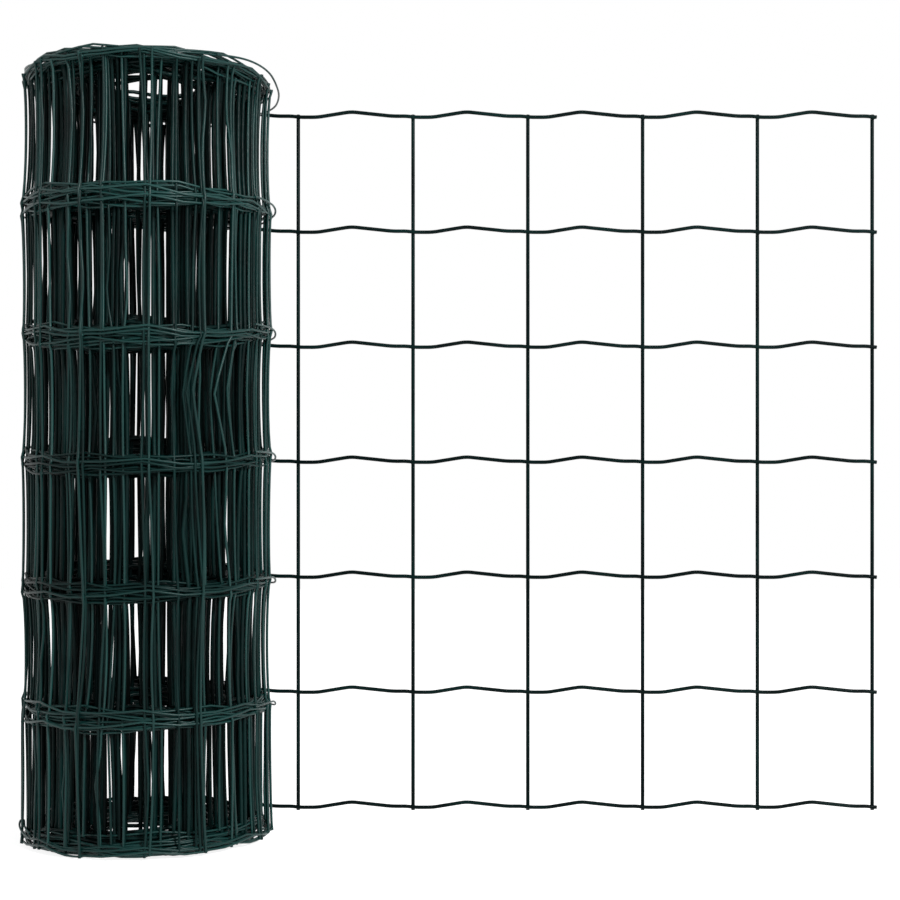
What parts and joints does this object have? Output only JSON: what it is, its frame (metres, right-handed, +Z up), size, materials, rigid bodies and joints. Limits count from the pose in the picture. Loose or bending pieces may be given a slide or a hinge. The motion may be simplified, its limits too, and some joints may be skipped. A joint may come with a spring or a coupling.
{
  "type": "roll of wire fencing",
  "caption": "Upright roll of green coated welded wire fencing with waved line wires, its last stretch pulled off the roll and hanging out flat.",
  "frame": {"origin": "on the roll's axis, at the end that it stands on", "axes": "+Z up along the roll's axis, +X along the flat stretch towards its free end, +Y towards the side on which the flat stretch leaves the roll"},
  "size_m": [0.7144, 0.2029, 0.6145],
  "materials": {
    "coil": "dark green plastic coated steel wire, wound",
    "outer_turn": "dark green plastic coated steel wire, smooth and slightly glossy",
    "free_end": "dark green plastic coated steel wire, smooth and slightly glossy"
  },
  "bodies": {
    "root": {"coil": "coil", "outer_turn": "outer_turn", "free_end": "free_end"}
  },
  "joints": []
}
